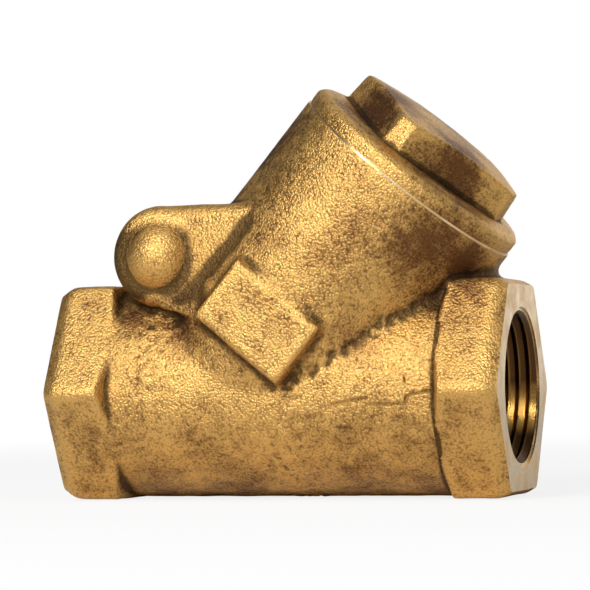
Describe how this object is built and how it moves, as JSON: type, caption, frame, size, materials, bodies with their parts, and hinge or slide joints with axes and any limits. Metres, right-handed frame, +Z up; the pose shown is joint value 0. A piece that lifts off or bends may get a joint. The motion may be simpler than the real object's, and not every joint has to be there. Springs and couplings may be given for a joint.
{
  "type": "swing check valve",
  "caption": "Bronze swing check valve with threaded hexagon ends and a leaning bonnet whose screwed cap covers a hinged soft-seated disc.",
  "frame": {"origin": "centre of the inlet's end face, on the pipe axis", "axes": "+X along the pipe axis in the flow's direction, +Z up, with the bonnet leaning in the XZ plane towards +X"},
  "size_m": [0.0762, 0.0417, 0.0698],
  "materials": {
    "cast_body": "sand cast, machined at the end faces, rim and bores",
    "cast_cap": "sand cast",
    "cast_hanger": "fine cast",
    "turned_brass": "turned",
    "pin_steel": "ground",
    "seal_plastic": "matte"
  },
  "bodies": {
    "valve": {"body": "cast_body", "cap": "cast_cap", "hinge_pin": "pin_steel", "side_plug": "turned_brass"},
    "hanger": {"hanger": "cast_hanger"},
    "disc": {"disc_holder": "turned_brass", "soft_disc": "seal_plastic", "disc_washer": "turned_brass", "disc_nut": "turned_brass", "hanger_washer": "turned_brass", "hanger_nut": "turned_brass"}
  },
  "joints": [
    {"name": "hanger_swing", "type": "hinge", "parent": "valve", "child": "hanger", "pos_m": [0.0188, 0, 0.02225], "axis": [0, -1, 0], "range_deg": [0, 42]},
    {"name": "disc_spin", "type": "hinge", "parent": "hanger", "child": "disc", "pos_m": [0.02855, 0, 0], "axis": [0.6428, 0, 0.766], "continuous": true}
  ]
}
